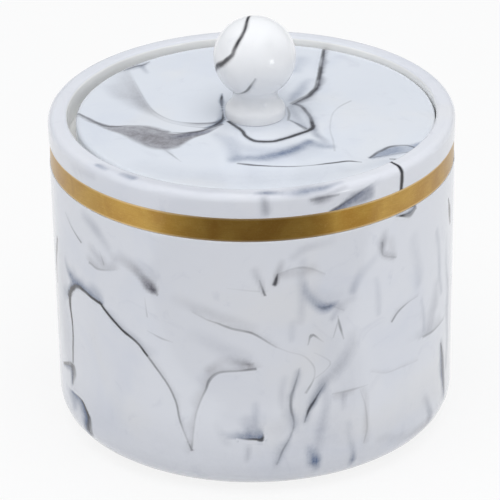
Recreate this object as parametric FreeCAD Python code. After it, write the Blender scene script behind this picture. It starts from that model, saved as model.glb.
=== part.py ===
"""Round lidded jar for cotton swabs, cast in marbled resin.

A drafted cup with a rebated mouth, a loose disc lid that drops into the rebate, a ball knob
screwed to the lid from below, a gilt strip let into a groove under the rim, and four pads.

Millimetres, +Z up. The origin is on the surface that the jar stands on, on the jar's axis.
"""
import FreeCAD
import Part
import math
import os

Vector = FreeCAD.Vector

# Jar: overall sizes
JAR_DIAMETER = 100.0            # outside, at the rim
JAR_HEIGHT = 80.3               # underside of the base to the rim
WALL_DRAFT = 1.0                # how much smaller the radius is at the base than at the rim
BASE_ROUNDING = 7.5             # outside corner between wall and base
RIM_OUTER_ROUNDING = 1.8
RIM_INNER_ROUNDING = 0.8

# Jar: mouth, ledge and cavity
RIM_WIDTH = 4.7                 # wall of the mouth, seen from above
LEDGE_WIDTH = 3.0               # step inside the mouth that carries the lid
LEDGE_CORNER = 0.5              # bevel of the step's edge and of its inner corner
FLOOR_THICKNESS = 5.0
FLOOR_CORNER = 7.0              # inside corner between wall and floor
CAVITY_DRAFT = 0.5              # how much smaller the cavity's radius is at the floor

# Gilt strip and its groove
STRIP_BELOW_RIM = 5.9
STRIP_WIDTH = 6.0
STRIP_THICKNESS = 0.5
STRIP_EDGE_BREAK = 0.12
STRIP_JOINT_GAP = 0.25          # butt joint of the strip's ends, at the back
GROOVE_DEPTH = 0.8
GROOVE_LIP = 0.2                # bevel of the groove's two outer edges
STRIP_SIDE_CLEARANCE = 0.08     # above and below the strip
STRIP_BED_CLEARANCE = 0.05      # behind the strip

# Lid
LID_THICKNESS = 5.2
LID_RECESS = 1.5                # lid's top face below the rim
LID_CLEARANCE = 1.15            # radial play of the lid in the mouth
LID_TOP_ROUNDING = 1.2
LID_BOTTOM_BREAK = 0.7
LID_REST_SHARE = 0.85           # share of the radial play that the resting lid has slid over
LID_REST_BEARING = 12.0         # degrees from +X towards +Y, where the lid has slid to

# Knob
BALL_DIAMETER = 20.2
NECK_DIAMETER = 11.0
NECK_HEIGHT = 5.8               # narrowest level above the lid
NECK_COVE = 2.2                 # hollow between neck and ball
FOOT_DIAMETER = 14.8
FOOT_EDGE = 1.65                # upright edge of the flared foot
FOOT_SHOULDER = 1.8             # rounding above that edge
FOOT_EDGE_BREAK = 0.25

# Fixing of the knob: threaded insert, screw and washer
THREAD_DIAMETER = 4.0
THREAD_ENGAGEMENT = 6.0
THREAD_CLEARANCE = 0.05         # radial, between the screw and the insert's bore
TIP_CLEARANCE = 1.0             # free depth past the screw's tip
INSERT_DIAMETER = 6.0
INSERT_WAIST = 0.4              # depth of the groove between the insert's two knurls
INSERT_KNURL_DEPTH = 0.25
INSERT_KNURL_TEETH = 18
INSERT_SEAT_CLEARANCE = 0.03    # radial, in the knob
SCREW_HOLE_CLEARANCE = 0.25     # radial, in the lid and in the washer
SCREW_HEAD_DIAMETER = 8.0
SCREW_HEAD_HEIGHT = 2.1
SCREW_HEAD_RIM = 0.7            # upright edge of the domed head
SCREW_HEAD_SINK = 0.2           # head above the lid's underside, inside the counterbore
SCREW_TIP_BREAK = 0.5
DRIVE_WIDTH = 1.1               # one arm of the cross recess
DRIVE_SPAN = 4.2
DRIVE_DEPTH = 1.3
WASHER_THICKNESS = 0.8
WASHER_MARGIN = 0.6             # washer beyond the screw's head
COUNTERBORE_CLEARANCE = 0.3     # radial, round the washer

# Feet
PAD_COUNT = 4
PAD_DIAMETER = 10.0
PAD_PROUD = 0.8                 # pad below the jar's base
PAD_RECESS = 0.6                # depth of the pad's seat
PAD_SEAT_CLEARANCE = 0.15       # radial
PAD_EDGE_BREAK = 0.25
PAD_INSET = 3.5                 # seat's edge to the start of the base's rounding

# Sizes that follow from the ones above
rim_radius = JAR_DIAMETER / 2
base_z = PAD_PROUD
rim_z = base_z + JAR_HEIGHT
floor_z = base_z + FLOOR_THICKNESS
mouth_radius = rim_radius - RIM_WIDTH
lid_radius = mouth_radius - LID_CLEARANCE
lid_top_z = rim_z - LID_RECESS
ledge_z = lid_top_z - LID_THICKNESS
cavity_radius = mouth_radius - LEDGE_WIDTH
groove_top_z = rim_z - STRIP_BELOW_RIM
groove_bottom_z = groove_top_z - STRIP_WIDTH - 2 * STRIP_SIDE_CLEARANCE

lid_slide = LID_REST_SHARE * LID_CLEARANCE
lid_x = lid_slide * math.cos(math.radians(LID_REST_BEARING))
lid_y = lid_slide * math.sin(math.radians(LID_REST_BEARING))

washer_diameter = SCREW_HEAD_DIAMETER + 2 * WASHER_MARGIN
screw_hole_radius = THREAD_DIAMETER / 2 + SCREW_HOLE_CLEARANCE
counterbore_radius = washer_diameter / 2 + COUNTERBORE_CLEARANCE
counterbore_depth = WASHER_THICKNESS + SCREW_HEAD_HEIGHT + SCREW_HEAD_SINK
counterbore_z = ledge_z + counterbore_depth
insert_length = THREAD_ENGAGEMENT + TIP_CLEARANCE


def wall_radius(z):
    """Outside radius of the drafted wall at a height."""
    return rim_radius - WALL_DRAFT * (rim_z - z) / JAR_HEIGHT


def point(r, z):
    """A point of a turned outline: r from the axis, z up."""
    return Vector(r, 0, z)


def line(start, end):
    return Part.LineSegment(start, end).toShape()


def arc(start, middle, end):
    return Part.Arc(start, middle, end).toShape()


def arc_about(centre, radius, from_degrees, to_degrees):
    """Arc in the outline's plane, by angles from +r towards +Z."""
    def at(degrees):
        turn = math.radians(degrees)
        return centre + point(radius * math.cos(turn), radius * math.sin(turn))
    return arc(at(from_degrees), at((from_degrees + to_degrees) / 2), at(to_degrees))


def sharp(r, z):
    return point(r, z), 0.0, None


def rounded(r, z, radius):
    return point(r, z), radius, "arc"


def broken(r, z, leg):
    return point(r, z), leg, "line"


def outline(corners):
    """Closed chain of edges through sharp, rounded and broken corners."""
    count = len(corners)
    arrivals = []
    departures = []
    turns = []
    for i, (corner, size, cut) in enumerate(corners):
        back = (corners[i - 1][0] - corner).normalize()
        ahead = (corners[(i + 1) % count][0] - corner).normalize()
        half_angle = back.getAngle(ahead) / 2
        reach = size / math.tan(half_angle) if cut == "arc" else size
        arrivals.append(corner + back * reach)
        departures.append(corner + ahead * reach)
        if cut == "arc":
            inward = (back + ahead).normalize()
            middle = corner + inward * (size / math.sin(half_angle) - size)
            turns.append([arc(arrivals[i], middle, departures[i])])
        elif cut == "line":
            turns.append([line(arrivals[i], departures[i])])
        else:
            turns.append([])
    edges = []
    for i in range(count):
        edges += turns[i] + [line(departures[i], arrivals[(i + 1) % count])]
    return edges


def turned(edges):
    """Solid of revolution about Z from a closed outline."""
    face = Part.Face(Part.Wire(edges))
    return face.revolve(Vector(0, 0, 0), Vector(0, 0, 1), 360)


def cylinder(radius, bottom_z, top_z, x=0.0, y=0.0):
    return Part.makeCylinder(radius, top_z - bottom_z, Vector(x, y, bottom_z))


def pad_centres():
    """Centres of the pads, evenly spaced and clear of the base's rounding."""
    circle = wall_radius(base_z) - BASE_ROUNDING - PAD_INSET - PAD_DIAMETER / 2
    for i in range(PAD_COUNT):
        turn = math.radians(360 / PAD_COUNT * (i + 0.5))
        yield circle * math.cos(turn), circle * math.sin(turn)


def make_jar():
    """Cup with rounded base, strip groove, lid rebate, drafted cavity and pad seats."""
    groove_radius = wall_radius(groove_top_z) - GROOVE_DEPTH
    cup = turned(outline([
        sharp(0, base_z),
        rounded(wall_radius(base_z), base_z, BASE_ROUNDING),
        broken(wall_radius(groove_bottom_z), groove_bottom_z, GROOVE_LIP),
        sharp(groove_radius, groove_bottom_z),
        sharp(groove_radius, groove_top_z),
        broken(wall_radius(groove_top_z), groove_top_z, GROOVE_LIP),
        rounded(rim_radius, rim_z, RIM_OUTER_ROUNDING),
        rounded(mouth_radius, rim_z, RIM_INNER_ROUNDING),
        broken(mouth_radius, ledge_z, LEDGE_CORNER),
        broken(cavity_radius, ledge_z, LEDGE_CORNER),
        rounded(cavity_radius - CAVITY_DRAFT, floor_z, FLOOR_CORNER),
        sharp(0, floor_z),
    ]))
    seats = [cylinder(PAD_DIAMETER / 2 + PAD_SEAT_CLEARANCE, 0, base_z + PAD_RECESS, x, y)
             for x, y in pad_centres()]
    return cup.cut(Part.makeCompound(seats))


def make_gold_band():
    """Strip bent to a ring, its ends meeting with a hairline gap at the back."""
    inside = wall_radius(groove_top_z) - GROOVE_DEPTH + STRIP_BED_CLEARANCE
    outside = inside + STRIP_THICKNESS
    top = groove_top_z - STRIP_SIDE_CLEARANCE
    bottom = top - STRIP_WIDTH
    ring = turned(outline([
        sharp(inside, bottom),
        broken(outside, bottom, STRIP_EDGE_BREAK),
        broken(outside, top, STRIP_EDGE_BREAK),
        sharp(inside, top),
    ]))
    joint = Part.makeBox(STRIP_JOINT_GAP, JAR_DIAMETER, JAR_HEIGHT,
                         Vector(-STRIP_JOINT_GAP / 2, 0, base_z))
    return ring.cut(joint)


def make_lid():
    """Disc with a rounded top edge, a screw hole and a counterbore from below."""
    disc = turned(outline([
        sharp(0, ledge_z),
        broken(lid_radius, ledge_z, LID_BOTTOM_BREAK),
        rounded(lid_radius, lid_top_z, LID_TOP_ROUNDING),
        sharp(0, lid_top_z),
    ]))
    hole = cylinder(screw_hole_radius, ledge_z, lid_top_z)
    counterbore = cylinder(counterbore_radius, ledge_z, counterbore_z)
    return disc.cut(hole.fuse(counterbore))


def knob_outline():
    """Ball, coved neck and flared foot as one chain of tangent arcs."""
    ball = BALL_DIAMETER / 2
    neck = NECK_DIAMETER / 2
    foot = FOOT_DIAMETER / 2
    neck_z = lid_top_z + NECK_HEIGHT
    edge_z = lid_top_z + FOOT_EDGE

    # the cove's arc touches the neck's narrowest level and the ball
    cove_centre = point(neck + NECK_COVE, neck_z)
    ball_z = neck_z + math.sqrt((ball + NECK_COVE) ** 2 - (neck + NECK_COVE) ** 2)
    ball_centre = point(0, ball_z)
    to_cove = cove_centre - ball_centre
    meeting = math.degrees(math.atan2(to_cove.z, to_cove.x))

    # below the neck, a hollow and the foot's shoulder turn by the same angle
    flare = 2 * math.atan((foot - neck) / (neck_z - edge_z))
    hollow = (neck_z - edge_z) / math.sin(flare) - FOOT_SHOULDER
    flare_degrees = math.degrees(flare)
    hollow_centre = point(neck + hollow, neck_z)
    shoulder_centre = point(foot - FOOT_SHOULDER, edge_z)

    return [
        arc_about(ball_centre, ball, 90, meeting),
        arc_about(cove_centre, NECK_COVE, 180 + meeting, 180),
        arc_about(hollow_centre, hollow, 180, 180 + flare_degrees),
        arc_about(shoulder_centre, FOOT_SHOULDER, flare_degrees, 0),
        line(point(foot, edge_z), point(foot, lid_top_z + FOOT_EDGE_BREAK)),
        line(point(foot, lid_top_z + FOOT_EDGE_BREAK), point(foot - FOOT_EDGE_BREAK, lid_top_z)),
        line(point(foot - FOOT_EDGE_BREAK, lid_top_z), point(0, lid_top_z)),
        line(point(0, lid_top_z), point(0, ball_z + ball)),
    ]


def make_knob():
    """Turned knob with the blind bore that holds the threaded insert."""
    bore_radius = INSERT_DIAMETER / 2 + INSERT_SEAT_CLEARANCE
    bore = cylinder(bore_radius, lid_top_z, lid_top_z + insert_length)
    return turned(knob_outline()).cut(bore)


def make_knob_insert():
    """Threaded bush: two knurled bands, a waist between them, and a tapped bore."""
    crest = INSERT_DIAMETER / 2
    root = crest - INSERT_KNURL_DEPTH
    teeth = []
    for i in range(2 * INSERT_KNURL_TEETH + 1):
        turn = math.pi * i / INSERT_KNURL_TEETH
        radius = crest if i % 2 == 0 else root
        teeth.append(Vector(radius * math.cos(turn), radius * math.sin(turn), lid_top_z))
    teeth[-1] = teeth[0]
    body = Part.Face(Part.makePolygon(teeth)).extrude(Vector(0, 0, insert_length))
    third = insert_length / 3
    outer = cylinder(INSERT_DIAMETER, lid_top_z + third, lid_top_z + 2 * third)
    core = cylinder(crest - INSERT_WAIST, lid_top_z + third, lid_top_z + 2 * third)
    bore = cylinder(THREAD_DIAMETER / 2 + THREAD_CLEARANCE, lid_top_z, lid_top_z + insert_length)
    return body.cut(outer.cut(core)).cut(bore)


def make_knob_screw():
    """Machine screw, head down, with a domed head and a cross recess."""
    head_top_z = counterbore_z - WASHER_THICKNESS
    head_z = head_top_z - SCREW_HEAD_HEIGHT
    rim_edge_z = head_top_z - SCREW_HEAD_RIM
    tip_z = lid_top_z + THREAD_ENGAGEMENT
    tip_edge_z = tip_z - SCREW_TIP_BREAK
    shank = THREAD_DIAMETER / 2
    head = SCREW_HEAD_DIAMETER / 2
    dome_rise = rim_edge_z - head_z
    dome_radius = (head ** 2 + dome_rise ** 2) / (2 * dome_rise)
    dome_end = -math.degrees(math.acos(head / dome_radius))
    blank = turned([
        arc_about(point(0, head_z + dome_radius), dome_radius, -90, dome_end),
        line(point(head, rim_edge_z), point(head, head_top_z)),
        line(point(head, head_top_z), point(shank, head_top_z)),
        line(point(shank, head_top_z), point(shank, tip_edge_z)),
        line(point(shank, tip_edge_z), point(shank - SCREW_TIP_BREAK, tip_z)),
        line(point(shank - SCREW_TIP_BREAK, tip_z), point(0, tip_z)),
        line(point(0, tip_z), point(0, head_z)),
    ])
    arms = [Part.makeBox(span_x, span_y, DRIVE_DEPTH, Vector(-span_x / 2, -span_y / 2, head_z))
            for span_x, span_y in ((DRIVE_SPAN, DRIVE_WIDTH), (DRIVE_WIDTH, DRIVE_SPAN))]
    return blank.cut(arms[0].fuse(arms[1]))


def make_screw_washer():
    washer = cylinder(washer_diameter / 2, counterbore_z - WASHER_THICKNESS, counterbore_z)
    return washer.cut(cylinder(screw_hole_radius, counterbore_z - WASHER_THICKNESS, counterbore_z))


def make_foot_pad(x, y):
    """Soft round pad, let into the base and standing a little proud of it."""
    pad = turned(outline([
        sharp(0, 0),
        broken(PAD_DIAMETER / 2, 0, PAD_EDGE_BREAK),
        sharp(PAD_DIAMETER / 2, base_z + PAD_RECESS),
        sharp(0, base_z + PAD_RECESS),
    ]))
    pad.translate(Vector(x, y, 0))
    return pad


def on_lid(shape):
    """Moves a piece from the jar's axis to where the resting lid has slid."""
    shape.translate(Vector(lid_x, lid_y, 0))
    return shape


def make_all():
    nodes = {
        "jar": make_jar(),
        "gold_band": make_gold_band(),
        "lid": on_lid(make_lid()),
        "knob": on_lid(make_knob()),
        "knob_insert": on_lid(make_knob_insert()),
        "knob_screw": on_lid(make_knob_screw()),
        "screw_washer": on_lid(make_screw_washer()),
    }
    for number, (x, y) in enumerate(pad_centres(), start=1):
        nodes[f"foot_pad_{number}"] = make_foot_pad(x, y)
    return nodes


os.makedirs("parts", exist_ok=True)
for node, shape in make_all().items():
    shape.exportStep(f"parts/{node}.step")
    print(f"{node}: {len(shape.Solids)} solid, {shape.Volume / 1000:.2f} cm3, valid {shape.isValid()}")
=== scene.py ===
"""Looks of a round lidded swab jar: marbled resin, a gilt strip, a disc lid with a ball knob.

Sizes are millimetres, and MM turns them into Blender's metres. Bearings are degrees round the
jar's axis, from the side that faces the camera, positive towards +X.
"""
import copy
import math
import bmesh
import bpy
import numpy as np
from mathutils import Matrix, Vector


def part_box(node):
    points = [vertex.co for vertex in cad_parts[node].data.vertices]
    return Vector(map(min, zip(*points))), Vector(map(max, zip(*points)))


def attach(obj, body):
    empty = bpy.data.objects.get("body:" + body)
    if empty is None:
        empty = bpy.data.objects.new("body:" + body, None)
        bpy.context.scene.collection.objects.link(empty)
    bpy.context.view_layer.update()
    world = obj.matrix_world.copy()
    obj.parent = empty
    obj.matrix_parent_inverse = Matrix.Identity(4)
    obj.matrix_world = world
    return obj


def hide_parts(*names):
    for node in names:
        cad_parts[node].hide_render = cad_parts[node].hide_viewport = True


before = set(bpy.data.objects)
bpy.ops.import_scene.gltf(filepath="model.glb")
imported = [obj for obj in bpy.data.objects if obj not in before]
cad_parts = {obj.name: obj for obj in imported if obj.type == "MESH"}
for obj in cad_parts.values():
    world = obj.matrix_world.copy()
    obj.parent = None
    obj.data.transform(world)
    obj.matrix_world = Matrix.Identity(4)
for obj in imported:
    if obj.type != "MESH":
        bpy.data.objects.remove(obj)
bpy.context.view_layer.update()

MM = 0.001

# Sizes of the turned pieces that their boxes don't give
BASE_ROUNDING = 7.5
WALL_DRAFT = 1.0
RIM_OUTER_ROUNDING = 1.8
RIM_INNER_ROUNDING = 0.8
RIM_WIDTH = 4.7
LEDGE_WIDTH = 3.0
LEDGE_CORNER = 0.5
MOUTH_CORNER = 0.3
FLOOR_THICKNESS = 5.0
FLOOR_CORNER = 7.0
CAVITY_DRAFT = 0.5
STRIP_THICKNESS = 0.5
STRIP_EDGE = 0.12
STRIP_JOINT_GAP = 0.25
STRIP_SIDE_CLEARANCE = 0.08
STRIP_BED_CLEARANCE = 0.05
GROOVE_LIP = 0.2
LID_TOP_ROUNDING = 1.2
LID_BOTTOM_ROUNDING = 0.6
SCREW_HOLE_RADIUS = 2.25
COUNTERBORE_RADIUS = 4.9
COUNTERBORE_DEPTH = 3.1
NECK_DIAMETER = 11.0
NECK_HEIGHT = 5.8
NECK_COVE = 2.2
FOOT_DIAMETER = 14.8
FOOT_EDGE = 1.65
FOOT_SHOULDER = 1.8
FOOT_EDGE_ROUNDING = 0.25
INSERT_BORE_RADIUS = 3.03
INSERT_BORE_DEPTH = 7.0
PAD_EDGE_ROUNDING = 0.3

# Facets of the turned pieces
JAR_SEGMENTS = 440
LID_SEGMENTS = 360
KNOB_SEGMENTS = 144
PAD_SEGMENTS = 48
CORNER_STEP_DEGREES = 15

# Camera, fitted to the photograph
CAMERA_DISTANCE = 1100.0
CAMERA_ELEVATION = 26.09
CAMERA_ROLL = 0.85
CAMERA_LENS = 318.2
SENSOR_WIDTH = 36.0
LOOK_AT = (-0.86, 0.0, 42.66)

# Stage, in metres
FLOOR_WIDTH = 8.0
FLOOR_WHITENESS = 0.85      # how far the floor is its own white to the eye
WORLD_STRENGTH = 0.43
LAMP_TARGET = (0, 0, 0.05)


def box_mm(node):
    low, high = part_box(node)
    return low / MM, high / MM


jar_low, jar_high = box_mm("jar")
band_low, band_high = box_mm("gold_band")
lid_low, lid_high = box_mm("lid")
knob_low, knob_high = box_mm("knob")

base_z, rim_z = jar_low.z, jar_high.z
rim_radius = (jar_high.y - jar_low.y) / 2
mouth_radius = rim_radius - RIM_WIDTH
cavity_radius = mouth_radius - LEDGE_WIDTH
ledge_z = lid_low.z
floor_z = base_z + FLOOR_THICKNESS
band_radius = (band_high.y - band_low.y) / 2
lid_radius = (lid_high.y - lid_low.y) / 2
lid_centre = (lid_low + lid_high) / 2
lid_top_z = lid_high.z
ball_radius = (knob_high.y - knob_low.y) / 2
ball_z = knob_high.z - ball_radius


def wall_radius(z):
    return rim_radius - WALL_DRAFT * (rim_z - z) / (rim_z - base_z)


# Outlines

def rounded_corner(before, corner, after, rounding):
    """Points of the arc that rounds a corner, or the corner itself."""
    if not rounding:
        return [corner]
    back = (before - corner).normalized()
    ahead = (after - corner).normalized()
    half_angle = back.angle(ahead) / 2
    reach = rounding / math.tan(half_angle)
    centre = corner + (back + ahead).normalized() * rounding / math.sin(half_angle)
    start = corner + back * reach - centre
    sweep = math.pi - 2 * half_angle
    turn = -sweep if start.cross(corner + ahead * reach - centre) < 0 else sweep
    steps = max(3, round(math.degrees(sweep) / CORNER_STEP_DEGREES))
    return [centre + Matrix.Rotation(turn * i / steps, 2) @ start for i in range(steps + 1)]


def outline(corners, closed=False):
    """Profile through (radius, z, rounding, spacing of the run that follows) corners."""
    points = [Vector(corner[:2]) for corner in corners]
    count = len(points)
    profile = []
    for i, (_, _, rounding, spacing) in enumerate(corners):
        turn = rounded_corner(points[i - 1], points[i], points[(i + 1) % count], rounding)
        profile += turn
        if i == count - 1 and not closed:
            break
        nxt = (i + 1) % count
        arrival = rounded_corner(points[i], points[nxt], points[(nxt + 1) % count], corners[nxt][2])[0]
        run = arrival - turn[-1]
        steps = max(1, round(run.length / spacing))
        profile += [turn[-1] + run * step / steps for step in range(1, steps)]
    if closed:
        profile.append(profile[0])
    return profile


def arc_points(centre, radius, from_degrees, to_degrees, spacing):
    """Arc of a profile, without its last point."""
    sweep = math.radians(to_degrees - from_degrees)
    steps = max(2, round(abs(sweep) * radius / spacing))
    angles = [math.radians(from_degrees) + sweep * i / steps for i in range(steps)]
    return [centre + Vector((math.cos(a), math.sin(a))) * radius for a in angles]


def jar_outline():
    groove_radius = band_radius - STRIP_THICKNESS - STRIP_BED_CLEARANCE
    groove_top = band_high.z + STRIP_SIDE_CLEARANCE
    groove_bottom = band_low.z - STRIP_SIDE_CLEARANCE
    return outline([
        (0, base_z, 0, 4),
        (wall_radius(base_z), base_z, BASE_ROUNDING, 0.72),
        (wall_radius(groove_bottom), groove_bottom, GROOVE_LIP, 1),
        (groove_radius, groove_bottom, 0, 3),
        (groove_radius, groove_top, 0, 1),
        (wall_radius(groove_top), groove_top, GROOVE_LIP, 0.9),
        (rim_radius, rim_z, RIM_OUTER_ROUNDING, 0.7),
        (mouth_radius, rim_z, RIM_INNER_ROUNDING, 1.5),
        (mouth_radius, ledge_z, MOUTH_CORNER, 1.5),
        (cavity_radius, ledge_z, LEDGE_CORNER, 2),
        (cavity_radius - CAVITY_DRAFT, floor_z, FLOOR_CORNER, 3),
        (0, floor_z, 0, 1),
    ])


def band_outline():
    inside = band_radius - STRIP_THICKNESS
    return outline([
        (inside, band_low.z, 0, 1),
        (band_radius, band_low.z, STRIP_EDGE, 1),
        (band_radius, band_high.z, STRIP_EDGE, 1),
        (inside, band_high.z, 0, 6),
    ], closed=True)


def lid_outline():
    recess_z = ledge_z + COUNTERBORE_DEPTH
    return outline([
        (SCREW_HOLE_RADIUS, recess_z, 0, 1),
        (COUNTERBORE_RADIUS, recess_z, 0, 1),
        (COUNTERBORE_RADIUS, ledge_z, 0, 1.5),
        (lid_radius, ledge_z, LID_BOTTOM_ROUNDING, 1),
        (lid_radius, lid_top_z, LID_TOP_ROUNDING, 0.7),
        (SCREW_HOLE_RADIUS, lid_top_z, 0, 1),
    ], closed=True)


def knob_outline():
    """Bore, foot, hollow, cove and ball, each arc tangent to the next."""
    neck = NECK_DIAMETER / 2
    foot = FOOT_DIAMETER / 2
    neck_z = lid_top_z + NECK_HEIGHT
    edge_z = lid_top_z + FOOT_EDGE
    flare = 2 * math.atan((foot - neck) / (neck_z - edge_z))
    hollow = (neck_z - edge_z) / math.sin(flare) - FOOT_SHOULDER
    cove_centre = Vector((neck + NECK_COVE, neck_z))
    ball_centre = Vector((0, ball_z))
    meeting = math.degrees(math.atan2(neck_z - ball_z, neck + NECK_COVE))
    flare_degrees = math.degrees(flare)
    return [
        Vector((0, lid_top_z + INSERT_BORE_DEPTH)),
        Vector((INSERT_BORE_RADIUS, lid_top_z + INSERT_BORE_DEPTH)),
        Vector((INSERT_BORE_RADIUS, lid_top_z)),
        *arc_points(Vector((foot - FOOT_EDGE_ROUNDING, lid_top_z + FOOT_EDGE_ROUNDING)),
                    FOOT_EDGE_ROUNDING, -90, 0, 0.1),
        Vector((foot, lid_top_z + FOOT_EDGE_ROUNDING)),
        Vector((foot, (edge_z + lid_top_z) / 2)),
        *arc_points(Vector((foot - FOOT_SHOULDER, edge_z)), FOOT_SHOULDER, 0, flare_degrees, 0.25),
        *arc_points(Vector((neck + hollow, neck_z)), hollow, 180 + flare_degrees, 180, 0.35),
        *arc_points(cove_centre, NECK_COVE, 180, 180 + meeting, 0.2),
        *arc_points(ball_centre, ball_radius, meeting, 90, 0.45),
        Vector((0, knob_high.z)),
    ]


def pad_outline(radius, top_z):
    return outline([(0, 0, 0, 2), (radius, 0, PAD_EDGE_ROUNDING, 1), (radius, top_z, 0, 2),
                    (0, top_z, 0, 1)])


# Node trees

def arithmetic(operation, swapped=False):
    """A method that applies a Math node's operation to a socket and another value."""
    def apply(self, other):
        return self.math(operation, *((other, self) if swapped else (self, other)))
    return apply


class Socket:
    """One output of a node; arithmetic on it adds Math nodes."""

    def __init__(self, owner, output):
        self.owner = owner
        self.output = output

    def math(self, operation, *values):
        return self.owner.add("ShaderNodeMath", {"operation": operation}, dict(enumerate(values)))

    __add__ = __radd__ = arithmetic("ADD")
    __sub__ = arithmetic("SUBTRACT")
    __rsub__ = arithmetic("SUBTRACT", swapped=True)
    __mul__ = __rmul__ = arithmetic("MULTIPLY")
    __truediv__ = arithmetic("DIVIDE")

    def __abs__(self):
        return self.math("ABSOLUTE", self)

    def between(self, low, high):
        """0 below low and 1 above high, with a smooth rise; falls if low is above high."""
        settings = {"interpolation_type": "SMOOTHSTEP"}
        return self.owner.add("ShaderNodeMapRange", settings, {0: self, 1: low, 2: high})


class NodeTree:
    """A node tree that is filled through one method."""

    def __init__(self, tree):
        self.tree = tree

    def add(self, kind, settings, sockets, output=0):
        """Adds a node, makes its settings, then fills its sockets, and returns one output."""
        node = self.tree.nodes.new(kind)
        for key, value in settings.items():
            setattr(node, key, value)
        for key, value in sockets.items():
            if isinstance(value, Socket):
                self.tree.links.new(value.output, node.inputs[key])
            else:
                node.inputs[key].default_value = value
        return Socket(self, node.outputs[output]) if node.outputs else None


class Shaping(NodeTree):
    """A geometry node tree with named inputs."""

    def __init__(self, name, inputs):
        super().__init__(bpy.data.node_groups.new(name, "GeometryNodeTree"))
        labels = {"Geometry": "NodeSocketGeometry", **inputs, "Material": "NodeSocketMaterial"}
        for label, kind in labels.items():
            self.tree.interface.new_socket(label, in_out="INPUT", socket_type=kind)
        self.tree.interface.new_socket("Geometry", in_out="OUTPUT", socket_type="NodeSocketGeometry")
        entry = self.tree.nodes.new("NodeGroupInput")
        self.inputs = {label: Socket(self, entry.outputs[label]) for label in labels}

    def finish(self, geometry):
        """Realizes what is left, gives it the material and ends the tree."""
        real = self.add("GeometryNodeRealizeInstances", {}, {"Geometry": geometry})
        painted = self.add("GeometryNodeSetMaterial", {},
                           {"Geometry": real, "Material": self.inputs["Material"]})
        self.add("NodeGroupOutput", {}, {"Geometry": painted})
        return self.tree


def turning_tree():
    """Turns a profile of points, in the XZ plane, about Z."""
    shaping = Shaping("turning", {"Segments": "NodeSocketInt", "Start": "NodeSocketFloat",
                                  "Sweep": "NodeSocketFloat"})
    add = shaping.add
    profile, segments, start, sweep, _ = shaping.inputs.values()
    points = add("GeometryNodeAttributeDomainSize", {}, {"Geometry": profile})
    columns = segments + 1
    grid = add("GeometryNodeMeshGrid", {}, {"Vertices X": points, "Vertices Y": columns})
    index = add("GeometryNodeInputIndex", {}, {})
    row = (index + 0.5) / columns
    row = row.math("FLOOR", row)
    angle = (index - row * columns) / segments * sweep + start
    place = add("GeometryNodeInputPosition", {}, {})
    outline_point = add("GeometryNodeSampleIndex", {"data_type": "FLOAT_VECTOR"},
                        {"Geometry": profile, "Value": place, "Index": row})
    turned_point = add("ShaderNodeVectorRotate", {"rotation_type": "Z_AXIS"},
                       {"Vector": outline_point, "Angle": angle})
    sheet = add("GeometryNodeSetPosition", {}, {"Geometry": grid, "Position": turned_point})
    joined = add("GeometryNodeMergeByDistance", {}, {"Geometry": sheet, "Distance": 1e-6})
    smooth = add("GeometryNodeSetShadeSmooth", {}, {"Geometry": joined})
    return shaping.finish(smooth)


def ring_tree():
    """Sets copies of a piece on a circle about Z, evenly spaced."""
    shaping = Shaping("ring of pads", {"Count": "NodeSocketInt", "Circle Radius": "NodeSocketFloat",
                                       "First Angle": "NodeSocketFloat"})
    add = shaping.add
    pad, count, radius, first_angle, _ = shaping.inputs.values()
    circle = add("GeometryNodeMeshCircle", {}, {"Vertices": count, "Radius": radius})
    turn = add("ShaderNodeCombineXYZ", {}, {"Z": first_angle})
    turned_circle = add("GeometryNodeTransform", {}, {"Geometry": circle, "Rotation": turn})
    copies = add("GeometryNodeInstanceOnPoints", {}, {"Points": turned_circle, "Instance": pad})
    return shaping.finish(copies)


TREES = {"turning": turning_tree(), "ring": ring_tree()}


def through_tree(source, tree, values, name):
    """A new object with the mesh that a node tree makes from another object's."""
    modifier = source.modifiers.new("tree", "NODES")
    modifier.node_group = TREES[tree]
    sockets = {item.name: item.identifier for item in TREES[tree].interface.items_tree
               if item.in_out == "INPUT"}
    for label, value in values.items():
        modifier[sockets[label]] = value
    bpy.context.view_layer.update()
    graph = bpy.context.evaluated_depsgraph_get()
    mesh = bpy.data.meshes.new_from_object(source.evaluated_get(graph))
    source.modifiers.remove(modifier)
    bpy.data.objects.remove(source)
    piece = bpy.data.objects.new(name, mesh)
    bpy.context.scene.collection.objects.link(piece)
    return piece


def turned(name, profile, segments, material, centre=(0, 0), start=-math.pi / 2, sweep=2 * math.pi):
    """A piece turned from a profile in millimetres; start and sweep are radians, from +X."""
    mesh = bpy.data.meshes.new(name + " profile")
    mesh.from_pydata([(r * MM, 0, z * MM) for r, z in profile],
                     [(i, i + 1) for i in range(len(profile) - 1)], [])
    source = bpy.data.objects.new(name + " profile", mesh)
    bpy.context.scene.collection.objects.link(source)
    piece = through_tree(source, "turning", {"Segments": segments, "Start": start,
                                             "Sweep": sweep, "Material": material}, name)
    piece.data.transform(Matrix.Translation((centre[0] * MM, centre[1] * MM, 0)))
    return piece


# Veins

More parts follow.
